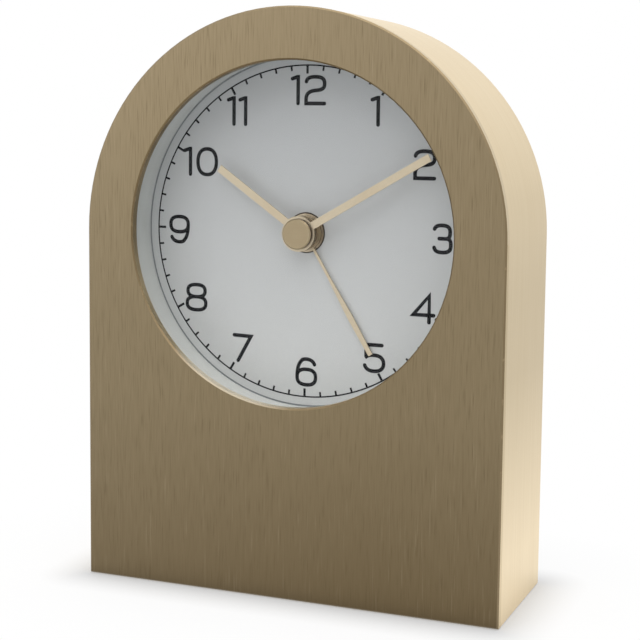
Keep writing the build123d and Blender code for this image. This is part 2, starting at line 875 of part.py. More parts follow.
def rotor_magnet():
    return tube(magnet_radius, pivot_radius, magnet_front, magnet_back, rotor_axis)


# Stepping motor and circuit board

def stator():
    """A flat yoke round the magnet, with two legs down to the ends of the coil core."""
    top = rotor_axis[1] + magnet_radius + magnet_air_gap + stator_top_margin
    foot = dial_z - stator_foot
    window_top = rotor_axis[1] - magnet_radius - magnet_air_gap - stator_bridge
    window_half = stator_half_width - stator_leg_width
    yoke = block(-stator_half_width, stator_half_width, stator_front, stator_back, foot, top)
    yoke -= block(-window_half, window_half, stator_front - cut_overrun, stator_back + cut_overrun,
                  foot - cut_overrun, window_top)
    hole = disc(magnet_radius + magnet_air_gap, stator_front - cut_overrun, stator_back + cut_overrun,
                rotor_axis)
    return yoke - hole


core_z = dial_z - core_drop
core_middle = core_front + core_thick / 2


def coil_core():
    return block(-stator_half_width, stator_half_width, core_front, stator_front,
                 core_z - core_half_height, core_z + core_half_height)


def core_box(half_length, half_depth, half_height):
    return block(-half_length, half_length, core_middle - half_depth, core_middle + half_depth,
                 core_z - half_height, core_z + half_height)


def sleeve_box(half_length):
    return core_box(half_length, core_thick / 2 + sleeve_thick, core_half_height + sleeve_thick)


def coil_bobbin():
    spool = core_box(coil_half_length, coil_half_depth, coil_half_height)
    waist = coil_half_length - flange_thick
    spool = spool - core_box(waist, coil_half_depth + cut_overrun, coil_half_height + cut_overrun)
    spool += sleeve_box(coil_half_length)
    return spool - core_box(coil_half_length + cut_overrun, core_thick / 2, core_half_height)


def coil_winding():
    waist = coil_half_length - flange_thick
    copper = core_box(waist, coil_half_depth - winding_margin, coil_half_height - winding_margin)
    return copper - sleeve_box(coil_half_length)


def circuit_board():
    return block(board_left, board_right, board_front, board_back, dial_z - board_half_height,
                 dial_z + board_half_height)


def quartz_crystal():
    start = Plane(origin=(crystal_x, board_front - crystal_radius, dial_z - crystal_drop - crystal_length),
                  z_dir=(0, 0, 1))
    return extrude(start * Circle(crystal_radius), amount=crystal_length)


def timing_chip():
    z = dial_z - chip_drop
    return block(chip_x - chip_half_size, chip_x + chip_half_size, board_front - chip_thick, board_front,
                 z - chip_half_size, z + chip_half_size)


# Knobs and hands

def knob(radius, place):
    """A round knob on its arbor, with notches round its rim and a shallow dish in its face."""
    body = disc(radius, knob_front, knob_back, place)
    edge_break = min(knob_edge_break, (knob_back - knob_front) / 4)
    body = chamfer(body.edges().group_by(Axis.Y)[-1], edge_break)
    for notch in range(knob_notches):
        turn = radians(notch * 360 / knob_notches)
        centre = (place[0] + radius * cos(turn), place[1] + radius * sin(turn))
        body -= disc(knob_notch_radius, knob_front - cut_overrun, knob_back + cut_overrun, centre)
    body -= disc(knob_dish_share * radius, knob_dish_front, knob_back + cut_overrun, place)
    return body - disc(setting_arbor_radius, knob_front - cut_overrun, knob_bore_back, place)


def time_knob():
    return knob(time_knob_radius, setting_axis)


def alarm_knob():
    return knob(alarm_knob_radius, alarm_axis)


def hand(tip_gap, width, shares, angle, back, hub_thick, bore):
    """A straight flat blade with a round hub, pointing at an angle clockwise from twelve."""
    length = ring_inner_radius - tip_gap
    right = [(width * wide / 2, length * along) for along, wide in shares]
    left = [(-x, z) for x, z in reversed(right)]
    blade = Polygon(*right, *left, align=None)
    shape = slab(Pos(*dial_axis) * Rot(0, 0, -angle) * blade, back - hand_thick, back)
    shape += disc(hand_hub_radius, back - hub_thick, back)
    return shape - disc(bore, case_front, lid_front)


def alarm_hand():
    return hand(alarm_hand_gap, alarm_hand_width, alarm_hand_shares, alarm_hand_angle, alarm_hand_back,
                hand_thick, alarm_tube_radius)


def hour_hand():
    return hand(hour_hand_gap, hand_width, bar_hand_shares, hour_hand_angle, hour_hand_back, hour_hub_thick,
                hour_tube_radius)


def minute_hand():
    return hand(minute_hand_gap, hand_width, bar_hand_shares, minute_hand_angle, minute_hand_back, hand_thick,
                cannon_radius)


def hand_cap():
    """The round cap that covers the end of the minute arbor."""
    cap = disc(cap_radius, cap_front, minute_hand_front)
    return chamfer(cap.edges().group_by(Axis.Y)[0], cap_edge_break)


nodes = {
    "front_plate": front_plate,
    "case_band": case_band,
    "lens": lens,
    "reflector_ring": reflector_ring,
    "dial": dial,
    "dial_carrier": dial_carrier,
    "carrier_screws": carrier_screws,
    "back_cover": back_cover,
    "cover_screws": cover_screws,
    "battery_door": battery_door,
    "battery": battery,
    "battery_contact": battery_contact,
    "battery_spring": battery_spring,
    "battery_leads": battery_leads,
    "sounder_disc": sounder_disc,
    "sounder_element": sounder_element,
    "sounder_leads": sounder_leads,
    "alarm_switch": alarm_switch,
    "switch_board": switch_board,
    "switch_leaf": switch_leaf,
    "switch_leads": switch_leads,
    "movement_housing": housing,
    "movement_lid": housing_lid,
    "train_bridge": train_bridge,
    "cannon_pinion": cannon_pinion,
    "setting_wheel": setting_wheel,
    "hour_wheel": hour_wheel,
    "alarm_wheel": alarm_wheel,
    "alarm_setting_pinion": alarm_setting_pinion,
    "centre_wheel": centre_wheel,
    "third_wheel": third_wheel,
    "second_wheel": second_wheel,
    "intermediate_wheel": intermediate_wheel,
    "rotor_pinion": rotor_pinion,
    "rotor_magnet": rotor_magnet,
    "stator": stator,
    "coil_core": coil_core,
    "coil_bobbin": coil_bobbin,
    "coil_winding": coil_winding,
    "circuit_board": circuit_board,
    "quartz_crystal": quartz_crystal,
    "timing_chip": timing_chip,
    "time_knob": time_knob,
    "alarm_knob": alarm_knob,
    "alarm_hand": alarm_hand,
    "hour_hand": hour_hand,
    "minute_hand": minute_hand,
    "hand_cap": hand_cap,
}

os.makedirs("parts", exist_ok=True)
for name, make in nodes.items():
    export_step(make(), f"parts/{name}.step")
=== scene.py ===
from math import atan2, cos, hypot, pi, radians, sin

import bmesh
import bpy
from mathutils import Matrix, Vector


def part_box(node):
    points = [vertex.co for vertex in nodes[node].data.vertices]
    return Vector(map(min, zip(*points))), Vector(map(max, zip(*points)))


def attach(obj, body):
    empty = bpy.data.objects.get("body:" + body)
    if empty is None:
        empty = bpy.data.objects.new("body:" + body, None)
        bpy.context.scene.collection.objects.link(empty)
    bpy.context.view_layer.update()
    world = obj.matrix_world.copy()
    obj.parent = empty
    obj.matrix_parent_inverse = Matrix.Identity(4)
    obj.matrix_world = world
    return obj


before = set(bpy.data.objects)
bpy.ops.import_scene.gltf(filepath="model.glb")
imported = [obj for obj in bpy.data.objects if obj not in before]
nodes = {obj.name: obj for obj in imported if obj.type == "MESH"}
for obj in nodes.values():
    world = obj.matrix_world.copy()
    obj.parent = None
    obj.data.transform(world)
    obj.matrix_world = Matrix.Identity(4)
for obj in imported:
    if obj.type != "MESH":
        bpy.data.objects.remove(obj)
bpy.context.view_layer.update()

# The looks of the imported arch-top clock, the printing on its dial, and a studio with the photograph's camera.
# Lengths are in metres. X runs to the right of someone facing the dial, Y to the back, Z up.

MM = 0.001

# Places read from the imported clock
plate_low, plate_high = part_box("front_plate")
dial_low, dial_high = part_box("dial")
dial_front = dial_low.y
dial_height = (dial_low.z + dial_high.z) / 2
case_height = plate_high.z


def bore_radius(name):
    """The radius of a node's round opening, which is how near its mesh comes to the axis of the hands."""
    return min(hypot(v.co.x, v.co.z - dial_height) for v in nodes[name].data.vertices)


aperture_radius = bore_radius("front_plate")
ring_radius = bore_radius("reflector_ring")
dial_bore = bore_radius("dial")


# Shader helpers

def tone(red, green, blue):
    """A colour as seen on a screen, from 0 to 255, turned into the light values that shaders take."""
    def light(value):
        value /= 255
        return value / 12.92 if value <= 0.04045 else ((value + 0.055) / 1.055) ** 2.4
    return (light(red), light(green), light(blue), 1)


def add(tree, kind, inputs=None, **settings):
    """A new shader node; an input is either a value or the socket that it is linked to."""
    node = tree.nodes.new("ShaderNode" + kind)
    for key, value in settings.items():
        setattr(node, key, value)
    for key, value in (inputs or {}).items():
        socket = node.inputs[key]
        if isinstance(value, bpy.types.NodeSocket):
            tree.links.new(value, socket)
        else:
            socket.default_value = value
    return node


def calc(tree, operation, a, b=0.0, c=0.0):
    return add(tree, "Math", {0: a, 1: b, 2: c}, operation=operation).outputs[0]


def remap(tree, value, low, high, to_low=0.0, to_high=1.0):
    return add(tree, "MapRange", {"Value": value, "From Min": low, "From Max": high, "To Min": to_low,
                                  "To Max": to_high}).outputs["Result"]


def spread(tree, value, to_low=0.0, to_high=1.0):
    """Stretches noise, most of which lies between 0.3 and 0.7, over a range."""
    return remap(tree, value, 0.3, 0.7, to_low, to_high)


def blend_colours(tree, share, first, second):
    return add(tree, "Mix", {0: share, 6: first, 7: second}, data_type="RGBA").outputs[2]


def tint(tree, colour, value, low, high, most, other):
    """Lets another colour in, up to a share, as a value rises from low to high."""
    return blend_colours(tree, remap(tree, value, low, high, 0.0, most), colour, other)


def place(tree):
    """The point on the piece in metres, at rest, as separate x, y and z."""
    coordinates = add(tree, "TexCoord").outputs["Object"]
    return add(tree, "SeparateXYZ", {0: coordinates}).outputs


def length(tree, a, b):
    squares = calc(tree, "MULTIPLY", a, a), calc(tree, "MULTIPLY", b, b)
    return calc(tree, "SQRT", calc(tree, "ADD", *squares))


def from_axis(tree, x, z):
    """How far the point is from the axis of the hands."""
    return length(tree, x, calc(tree, "SUBTRACT", z, dial_height))


def faces_forward(tree):
    """One on faces that look straight to the front or back, nothing on walls."""
    normal = add(tree, "NewGeometry").outputs["True Normal"]
    return calc(tree, "ABSOLUTE", add(tree, "SeparateXYZ", {0: normal}).outputs["Y"])


def noise(tree, scale, detail=3.0, roughness=0.55):
    """Noise whose scale is in cells per metre, either one number or one each along x, y and z."""
    if not isinstance(scale, tuple):
        scale = (scale, scale, scale)
    coordinates = add(tree, "TexCoord").outputs["Object"]
    scaled = add(tree, "Mapping", {"Vector": coordinates, "Scale": scale}).outputs["Vector"]
    return add(tree, "TexNoise", {"Vector": scaled, "Scale": 1.0, "Detail": detail,
                                  "Roughness": roughness}).outputs["Fac"]


# Depths of relief in metres
FINEST, FINE, COARSE, COARSER, COARSEST = 0.00001, 0.00002, 0.00003, 0.00004, 0.00006


def bump(tree, height, distance, strength=1.0):
    return add(tree, "Bump", {"Height": height, "Distance": distance, "Strength": strength}).outputs["Normal"]


def new_material(name, metallic=0.0, **values):
    made = bpy.data.materials.new(name)
    made.use_nodes = True
    tree = made.node_tree
    tree.nodes.clear()
    shader = add(tree, "BsdfPrincipled", {"Metallic": metallic, **values})
    output = add(tree, "OutputMaterial")
    tree.links.new(shader.outputs[0], output.inputs["Surface"])
    return made, tree, shader


def gloss_level(value):
    """The strength of the reflection of a material that isn't metal, as new_material takes it."""
    return {"Specular IOR Level": value}


def wear(tree, shader, colour, roughness, normal=None):
    """Links the colour, the roughness and the relief to a shader."""
    tree.links.new(colour, shader.inputs["Base Color"])
    tree.links.new(roughness, shader.inputs["Roughness"])
    if normal is not None:
        tree.links.new(normal, shader.inputs["Normal"])


# Metals of the case

def champagne(tree):
    """Satin pale gold with fine lines that run round the band, and painted light and shade: a little deeper
    half-way up the sides, paler at the foot and the crown.
    """
    fine, broad = noise(tree, (35, 5200, 35), 2.0), noise(tree, (14, 600, 14), 2.0)
    x, y, z = place(tree)
    waist = case_height * 0.47
    # Painted light and shade: paler at the foot and the crown, deeper half-way up
    rise, fall = remap(tree, z, waist * 0.2, waist * 0.85), remap(tree, z, waist * 1.15, waist * 1.85)
    colour = blend_colours(tree, rise, tone(246, 226, 188), tone(203, 184, 146))
    colour = blend_colours(tree, fall, colour, tone(233, 213, 174))
    colour = tint(tree, colour, fine, 0.3, 0.7, 0.18, tone(196, 177, 141))
    return tint(tree, colour, broad, 0.35, 0.7, 0.08, tone(204, 184, 146)), fine


# The way from the middle of the aperture to the stretch of its wall and slope that take a painted highlight,
# low on the left
BRIGHT_LEFT, BRIGHT_DOWN = 0.375, 0.927

# The wall of the aperture begins this far beyond its radius, in shares of it
BORE_OUTER, BORE_INNER = 1.03, 1.02

# How much deeper the plate's outer wall is than the band, and how strongly its corners take their dark painted
# shade and nicks
SIDE_DEPTH, EDGE_SHADE_AND_WEAR = 0.3, 0.8


def make_front_metal():
    """Brown-gold anodised plate, brushed upright, with champagne side walls, painted light and shade, and
    nicked corners darkened as painted shade.
    """
    made, tree, shader = new_material("brushed_gold_front", 1.0, Anisotropic=0.6)
    tree.links.new(add(tree, "CombineXYZ", {0: 1.0}).outputs[0], shader.inputs["Tangent"])
    fine = noise(tree, (4200, 300, 170), 1.0, 0.5)
    broad = noise(tree, (2600, 200, 95), 1.0, 0.5)
    cloud = noise(tree, (28, 28, 18), 2.0)
    x, y, z = place(tree)

    # The face: paler to the top and the left as painted light, with fine dark lines, some broad pale ones and
    # faint clouds
    foot = case_height * 0.35
    body = blend_colours(tree, remap(tree, z, 0.0, foot), tone(111, 96, 71), tone(138, 123, 96))
    body = blend_colours(tree, remap(tree, z, foot, case_height), body, tone(154, 138, 110))
    body = tint(tree, body, x, 0.02, -0.05, 0.08, tone(200, 185, 155))
    body = tint(tree, body, fine, 0.35, 0.65, 0.12, tone(104, 89, 63))
    body = tint(tree, body, fine, 0.62, 0.78, 0.24, tone(84, 70, 48))
    body = tint(tree, body, broad, 0.64, 0.84, 0.16, tone(190, 174, 146))
    body = tint(tree, body, cloud, 0.35, 0.75, 0.06, tone(104, 92, 72))

    # The walls: champagne outside, and in the aperture a gold with painted shade, darker away from the low left
    # side, and a painted highlight low on the left
    side, side_fine = champagne(tree)
    side = blend_colours(tree, SIDE_DEPTH, side, tone(178, 162, 132))
    out = from_axis(tree, x, z)
    bore = remap(tree, out, aperture_radius * BORE_OUTER, aperture_radius * BORE_INNER)
    low_side = calc(tree, "ADD", calc(tree, "MULTIPLY", x, -BRIGHT_LEFT),
                    calc(tree, "MULTIPLY", calc(tree, "SUBTRACT", dial_height, z), BRIGHT_DOWN))
    lowness = calc(tree, "DIVIDE", low_side, out)
    painted_glint = calc(tree, "MULTIPLY", bore, remap(tree, lowness, 0.91, 0.985))
    bore_painted_shade = blend_colours(tree, remap(tree, lowness, 0.4, 0.7), tone(158, 140, 108), tone(196, 177, 142))
    wall = blend_colours(tree, bore, side, bore_painted_shade)
    wall = blend_colours(tree, painted_glint, wall, tone(255, 244, 222))

    # The narrow slope between face and wall: dark brown as painted shade, with pale nicks, and a painted
    # highlight low on the left of the aperture
    facing = faces_forward(tree)
    flat = remap(tree, facing, 0.8, 0.95)
    edge = calc(tree, "MULTIPLY", remap(tree, facing, 0.3, 0.6), remap(tree, facing, 0.95, 0.85))
    nicks = remap(tree, noise(tree, 420, 4.0, 0.7), 0.6, 0.68)
    edge_shade_and_nicks = blend_colours(tree, nicks, tone(108, 92, 67), tone(136, 119, 91))
    edge_shade_and_nicks = blend_colours(tree, painted_glint, edge_shade_and_nicks, tone(122, 111, 92))

    colour = blend_colours(tree, flat, wall, body)
    colour = blend_colours(tree, calc(tree, "MULTIPLY", edge, EDGE_SHADE_AND_WEAR), colour, edge_shade_and_nicks)
    grain = add(tree, "Mix", {0: flat, 2: side_fine, 3: fine}, data_type="FLOAT").outputs[0]
    wear(tree, shader, colour, remap(tree, grain, 0.25, 0.75, 0.36, 0.48), bump(tree, grain, FINE, 0.35))
    return made


def make_band_metal():
    made, tree, shader = new_material("champagne_band", 1.0)
    colour, fine = champagne(tree)
    wear(tree, shader, colour, remap(tree, fine, 0.25, 0.75, 0.3, 0.42), bump(tree, fine, FINEST, 0.35))
    return made


# Glass, ring and dial

# How strongly the sheet bends light, and the share of its reflection that a coating leaves
GLASS_IOR, COATED = 1.45, 0.22


def make_glass():
    """Clear sheet: straight through, with a thin, slightly smeared reflection."""
    made = bpy.data.materials.new("lens_glass")
    made.use_nodes = True
    tree = made.node_tree
    tree.nodes.clear()
    smear = noise(tree, (60, 60, 25), 3.0)
    clear = add(tree, "BsdfTransparent", {"Color": (0.985, 0.985, 0.985, 1)})
    gloss = add(tree, "BsdfGlossy", {"Color": (0.97, 0.98, 1.0, 1),
                                     "Roughness": spread(tree, smear, 0.03, 0.09)})
    mirror = calc(tree, "MULTIPLY", add(tree, "Fresnel", {"IOR": GLASS_IOR}).outputs[0], COATED)
    mixed = add(tree, "MixShader", {0: mirror, 1: clear.outputs[0], 2: gloss.outputs[0]})
    tree.links.new(mixed.outputs[0], add(tree, "OutputMaterial").inputs["Surface"])
    return made


def make_ring_plastic():
    """Matt white with painted shade: whitest at the bottom of the ring and greyer in its upper half, which the
    plate shades.
    """
    made, tree, shader = new_material("ring_white", 0.0, **gloss_level(0.5))
    cloud = noise(tree, (90, 260, 90), 3.0)
    fine = noise(tree, 2500, 2.0)
    x, y, z = place(tree)
    low = remap(tree, z, dial_height, dial_height - ring_radius)
    colour = blend_colours(tree, low, tone(200, 203, 200), tone(250, 251, 246))
    colour = tint(tree, colour, cloud, 0.3, 0.7, 0.3, tone(222, 226, 226))
    wear(tree, shader, colour, spread(tree, cloud, 0.28, 0.42), bump(tree, fine, FINEST, 0.3))
    return made


# The painted shade on the dial is deepest from this share of its height on
DIAL_FALL = 0.9


def make_dial_silver():
    """Silvered dial with painted shade: a little deeper towards the top, which the plate shades."""
    made, tree, shader = new_material("dial_silver", 0.0, **gloss_level(0.45))
    grain = noise(tree, 3600, 1.0)
    cloud = noise(tree, (26, 26, 20), 1.5)
    x, y, z = place(tree)
    deepest = dial_low.z + DIAL_FALL * (dial_high.z - dial_low.z)
    fall = remap(tree, z, dial_low.z, deepest)
    colour = blend_colours(tree, fall, tone(220, 222, 221), tone(183, 186, 188))
    colour = tint(tree, colour, cloud, 0.3, 0.75, 0.2, tone(214, 216, 216))
    colour = tint(tree, colour, grain, 0.35, 0.65, 0.12, tone(180, 184, 187))
    wear(tree, shader, colour, spread(tree, grain, 0.42, 0.52), bump(tree, grain, FINEST, 0.12))
    return made


def speckled(name, cells, dark, light, rough_low, rough_high, strength, **values):
    """Two close tones in specks, for printing and for thin lines of painted shadow."""
    made, tree, shader = new_material(name, 0.0, **values)
    speck = noise(tree, cells, 2.0)
    colour = blend_colours(tree, remap(tree, speck, 0.35, 0.7), dark, light)
    rough = spread(tree, speck, rough_low, rough_high)
    wear(tree, shader, colour, rough, bump(tree, speck, FINEST, strength))
    return made


# Hands

# The walls of the hubs lie within the first radius, and what lies beyond the second is blade
HUB_REACH, HUB_EDGE = 4.1 * MM, 4.3 * MM


def hub_wall(tree):
    """Where the hands and the cap take painted shade: one on the round walls of the hubs and the cap, nothing
    on their faces and on the blades.
    """
    x, y, z = place(tree)
    near = remap(tree, from_axis(tree, x, z), HUB_EDGE, HUB_REACH)
    return calc(tree, "MULTIPLY", remap(tree, faces_forward(tree), 0.6, 0.4), near)


def make_hand_metal():
    made, tree, shader = new_material("hand_champagne", 1.0)
    fine = noise(tree, 3800, 2.0)
    cloud = noise(tree, 160, 2.0)
    colour = blend_colours(tree, spread(tree, fine), tone(200, 187, 161), tone(216, 203, 178))
    colour = tint(tree, colour, cloud, 0.4, 0.75, 0.3, tone(202, 180, 148))
    # Painted shade: the round walls of the hubs are dark brown
    colour = blend_colours(tree, hub_wall(tree), colour, tone(128, 102, 66))
    wear(tree, shader, colour, spread(tree, fine, 0.34, 0.48), bump(tree, fine, FINEST, 0.3))
    return made


def make_cap_metal():
    """Turned gold: fine rings round the axis of the hands on the face, and a wall darkened as painted shade."""
    made, tree, shader = new_material("cap_turned_gold", 1.0)
    x, y, z = place(tree)
    across = add(tree, "CombineXYZ", {0: from_axis(tree, x, z), 1: y}).outputs[0]
    rings = add(tree, "TexNoise", {"Vector": across, "Scale": 5200.0, "Detail": 2.0}).outputs["Fac"]
    fine = noise(tree, 2600, 2.0)
    colour = blend_colours(tree, spread(tree, rings), tone(167, 150, 120), tone(182, 166, 135))
    colour = tint(tree, colour, fine, 0.4, 0.75, 0.3, tone(153, 135, 105))
    colour = blend_colours(tree, hub_wall(tree), colour, tone(70, 54, 34))
    wear(tree, shader, colour, spread(tree, rings, 0.36, 0.5), bump(tree, rings, FINEST, 0.4))
    return made


# Plastics, metals and boards at the back and inside

def moulded(name, dark, light, rough_low, rough_high, cells=2200.0, depth=COARSE, strength=0.5):
    """Moulded plastic with a fine spark-eroded texture, a faint unevenness and a few handling marks."""
    made, tree, shader = new_material(name)
    texture = noise(tree, cells, 3.0)
    cloud = noise(tree, 70, 3.0)
    marks = noise(tree, (420, 420, 60), 3.0, 0.65)
    colour = blend_colours(tree, spread(tree, cloud), dark, light)
    colour = tint(tree, colour, texture, 0.52, 0.7, 0.6, light)
    colour = tint(tree, colour, marks, 0.62, 0.8, 0.25, light)
    rough = spread(tree, texture, rough_low, rough_high)
    wear(tree, shader, colour, rough, bump(tree, texture, depth, strength))
    return made


def worked_metal(name, dark, light, scale, rough_low, rough_high):
    """Metal with marks drawn out along one direction and a little tarnish."""
    made, tree, shader = new_material(name, 1.0)
    fine = noise(tree, scale, 2.5)
    tarnish = noise(tree, 240, 3.0)
    colour = blend_colours(tree, spread(tree, fine), dark, light)
    colour = tint(tree, colour, tarnish, 0.5, 0.8, 0.4, dark)
    wear(tree, shader, colour, spread(tree, fine, rough_low, rough_high), bump(tree, fine, FINEST, 0.4))
    return made


WIRE_PITCH = 0.3 * MM


def make_winding():
    """Copper wire, one turn beside the other along the bobbin, darkened in the grooves between the turns as
    painted shade.
    """
    made, tree, shader = new_material("copper_winding", 1.0)
    x, y, z = place(tree)
    turns = calc(tree, "SINE", calc(tree, "MULTIPLY", x, 2 * pi / WIRE_PITCH))
    mottle = noise(tree, 900, 2.0)
    colour = blend_colours(tree, remap(tree, turns, -1, 1), tone(120, 58, 28), tone(214, 132, 78))
    wear(tree, shader, colour, spread(tree, mottle, 0.25, 0.42), bump(tree, turns, COARSER, 0.6))
    return made


def make_board():
    made, tree, shader = new_material("green_board")
    weave = noise(tree, 1800, 2.0)
    tracks = noise(tree, (260, 260, 150), 0.0)
    colour = blend_colours(tree, spread(tree, weave), tone(18, 78, 42), tone(28, 98, 54))
    colour = tint(tree, colour, tracks, 0.54, 0.56, 0.6, tone(58, 130, 70))
    wear(tree, shader, colour, spread(tree, weave, 0.3, 0.42), bump(tree, tracks, COARSE, 0.5))
    return made


# Where the gold band of the battery's sleeve begins along x, and how soft that edge is
SLEEVE_SPLIT, SLEEVE_BLUR = 11.5 * MM, 0.4 * MM


def make_battery():
    """Dark sleeve with a gold band at the positive end and long scuffs."""
    made, tree, shader = new_material("battery_sleeve")
    x, y, z = place(tree)
    scuff = noise(tree, (120, 2400, 2400), 3.0)
    band = remap(tree, x, SLEEVE_SPLIT, SLEEVE_SPLIT + SLEEVE_BLUR)
    colour = blend_colours(tree, band, tone(66, 74, 84), tone(176, 150, 96))
    colour = tint(tree, colour, scuff, 0.55, 0.8, 0.4, tone(128, 132, 138))
    wear(tree, shader, colour, spread(tree, scuff, 0.22, 0.4), bump(tree, scuff, FINEST, 0.3))
    return made


cover = moulded("cover_black", tone(24, 24, 25), tone(42, 42, 43), 0.42, 0.7, 1500.0, COARSEST, 0.8)
knob = moulded("knob_black", tone(20, 20, 21), tone(30, 30, 31), 0.26, 0.42, 1400.0, FINE, 0.35)
housing = moulded("housing_white", tone(198, 198, 190), tone(214, 214, 206), 0.42, 0.58)
gear = moulded("gear_acetal", tone(222, 222, 212), tone(236, 236, 228), 0.28, 0.4, 1600.0, FINEST, 0.3)
carrier = moulded("carrier_grey", tone(60, 60, 62), tone(72, 72, 74), 0.48, 0.64)
chip = moulded("chip_epoxy", tone(16, 16, 17), tone(26, 26, 28), 0.2, 0.34, 900.0, COARSER)
lead = moulded("lead_red", tone(150, 20, 18), tone(172, 30, 26), 0.4, 0.55, 1800.0, FINEST, 0.3)
ceramic = moulded("sounder_silvered", tone(196, 196, 190), tone(216, 216, 210), 0.35, 0.5)
drawn_along_x, drawn_along_y, drawn_along_z = (400, 2500, 2500), (2500, 300, 2500), (2500, 2500, 300)
screw_metal = worked_metal("screw_zinc", tone(140, 142, 146), tone(190, 192, 196), drawn_along_y, 0.24, 0.4)
brass = worked_metal("arbor_brass", tone(182, 148, 78), tone(224, 192, 118), drawn_along_y, 0.2, 0.34)
nickel = worked_metal("contact_nickel", tone(168, 166, 160), tone(208, 206, 200), drawn_along_x, 0.2, 0.36)
steel = worked_metal("yoke_steel", tone(118, 119, 122), tone(158, 159, 162), (2500, 2500, 200), 0.3, 0.45)
magnet = worked_metal("magnet_black", tone(44, 44, 47), tone(66, 66, 70), 1500, 0.4, 0.6)
sheet = worked_metal("sounder_sheet", tone(178, 146, 76), tone(218, 186, 112), drawn_along_z, 0.22, 0.36)
board = make_board()
hand_metal = make_hand_metal()

# The nodes that aren't named here are wheels and plain plastic parts of the movement
looks = {
    "front_plate": make_front_metal(), "case_band": make_band_metal(), "lens": make_glass(),
    "reflector_ring": make_ring_plastic(), "dial": make_dial_silver(), "dial_carrier": carrier,
    "back_cover": cover, "battery_door": cover, "alarm_switch": knob, "time_knob": knob, "alarm_knob": knob,
    "carrier_screws": screw_metal, "cover_screws": screw_metal, "battery": make_battery(),
    "battery_contact": nickel, "battery_spring": nickel, "battery_leads": lead, "sounder_leads": lead,
    "switch_leads": lead, "sounder_disc": sheet, "sounder_element": ceramic, "switch_board": board,
    "switch_leaf": nickel, "movement_housing": housing, "movement_lid": housing, "train_bridge": housing,
    "cannon_pinion": brass, "rotor_magnet": magnet, "stator": steel, "coil_core": steel,
    "coil_winding": make_winding(), "circuit_board": board, "quartz_crystal": nickel, "timing_chip": chip,
    "alarm_hand": hand_metal, "hour_hand": hand_metal, "minute_hand": hand_metal,
    "hand_cap": make_cap_metal(),
}
for name, piece in nodes.items():
    for slot in piece.material_slots:
        slot.material = looks.get(name, gear)


# Printing on the dial: flat strokes with round ends, built as meshes just proud of the dial

INK_LIFT = 0.03 * MM
STROKE = 0.86 * MM
STROKE_STEP = 0.004 * MM
DIGIT_HEIGHT = 6.8 * MM

# Points of a stroke nearer than the first length count as one, and where its ends are nearer than the second,
# it is a ring. The cosine limits how far a sharp corner reaches out.
SAME_POINT, CLOSED_GAP = 1e-6, 1e-5
MITRE_COSINE = 0.45

# In degrees: how far the points of a round end reach to both sides, their step, and the step along a circle
FAN_REACH, FAN_STEP = 60, 30
CIRCLE_STEP = 2


def oval(centre, half, start, end, squareness=2.5, steps=28):
    """Points along part of a squared oval; angles in degrees, anticlockwise from the right."""
    points = []
    for step in range(steps + 1):
        angle = radians(start + (end - start) * step / steps)
        c, s = cos(angle), sin(angle)
        points.append((centre[0] + half[0] * abs(c) ** (2 / squareness) * (1 if c >= 0 else -1),
                       centre[1] + half[1] * abs(s) ** (2 / squareness) * (1 if s >= 0 else -1)))
    return points


def curve(start, pull_a, pull_b, end, steps=14):
    """Points along a Bezier curve."""
    points = []
    for step in range(steps + 1):
        t = step / steps
        weights = ((1 - t) ** 3, 3 * t * (1 - t) ** 2, 3 * t * t * (1 - t), t ** 3)
        points.append(tuple(sum(w * p[axis] for w, p in zip(weights, (start, pull_a, pull_b, end)))
                            for axis in (0, 1)))
    return points


# Each digit: its width as a share of the digit height, and its strokes in shares of that width and height
digit_shares = {
    "0": (0.8, [oval((0.5, 0.5), (0.5, 0.5), 90, 450, 2.3, 48)]),
    "1": (0.24, [[(0, 0.93), (0.85, 1), (1, 1), (1, 0)]]),
    "2": (0.75, [oval((0.5, 0.745), (0.5, 0.255), 168, 0, 2.6)
                 + curve((1, 0.72), (1, 0.52), (0.72, 0.5), (0.5, 0.49))
                 + curve((0.45, 0.485), (0.12, 0.45), (0, 0.34), (0, 0.16)) + [(0, 0), (1, 0)]]),
    "3": (0.67, [oval((0.46, 0.75), (0.46, 0.25), 160, 0, 2.6)
                 + curve((0.92, 0.74), (0.92, 0.58), (0.86, 0.52), (0.7, 0.51)) + [(0.3, 0.51)],
                 curve((0.72, 0.51), (0.92, 0.5), (0.97, 0.43), (0.97, 0.26))
                 + oval((0.485, 0.25), (0.485, 0.25), 0, -168, 2.6)]),
    "4": (0.8, [[(0.78, 0), (0.78, 1), (0, 0.27), (1, 0.27)]]),
    "5": (0.77, [[(0.9, 1), (0.08, 1), (0.08, 0.56)]
                 + curve((0.1, 0.54), (0.25, 0.62), (0.36, 0.61), (0.5, 0.61))
                 + oval((0.5, 0.305), (0.5, 0.305), 90, -165, 2.3, 40)]),
    "6": (0.77, [oval((0.5, 0.71), (0.46, 0.29), 18, 118, 2.1)
                 + curve((0.24, 0.93), (0.05, 0.8), (0, 0.55), (0, 0.33))
                 + oval((0.5, 0.3), (0.5, 0.3), 180, 360, 2.5) + oval((0.5, 0.3), (0.5, 0.3), 0, 165, 2.5)]),
    "7": (0.72, [[(0, 1), (1, 0.98), (0.24, 0)]]),
    "8": (0.82, [oval((0.5, 0.76), (0.46, 0.24), 90, 450, 2.5, 44),
                 oval((0.5, 0.26), (0.5, 0.26), 90, 450, 2.5, 44)]),
}
turned = [[(1 - x, 1 - z) for x, z in line] for line in digit_shares["6"][1]]
digit_shares["9"] = (0.77, turned)


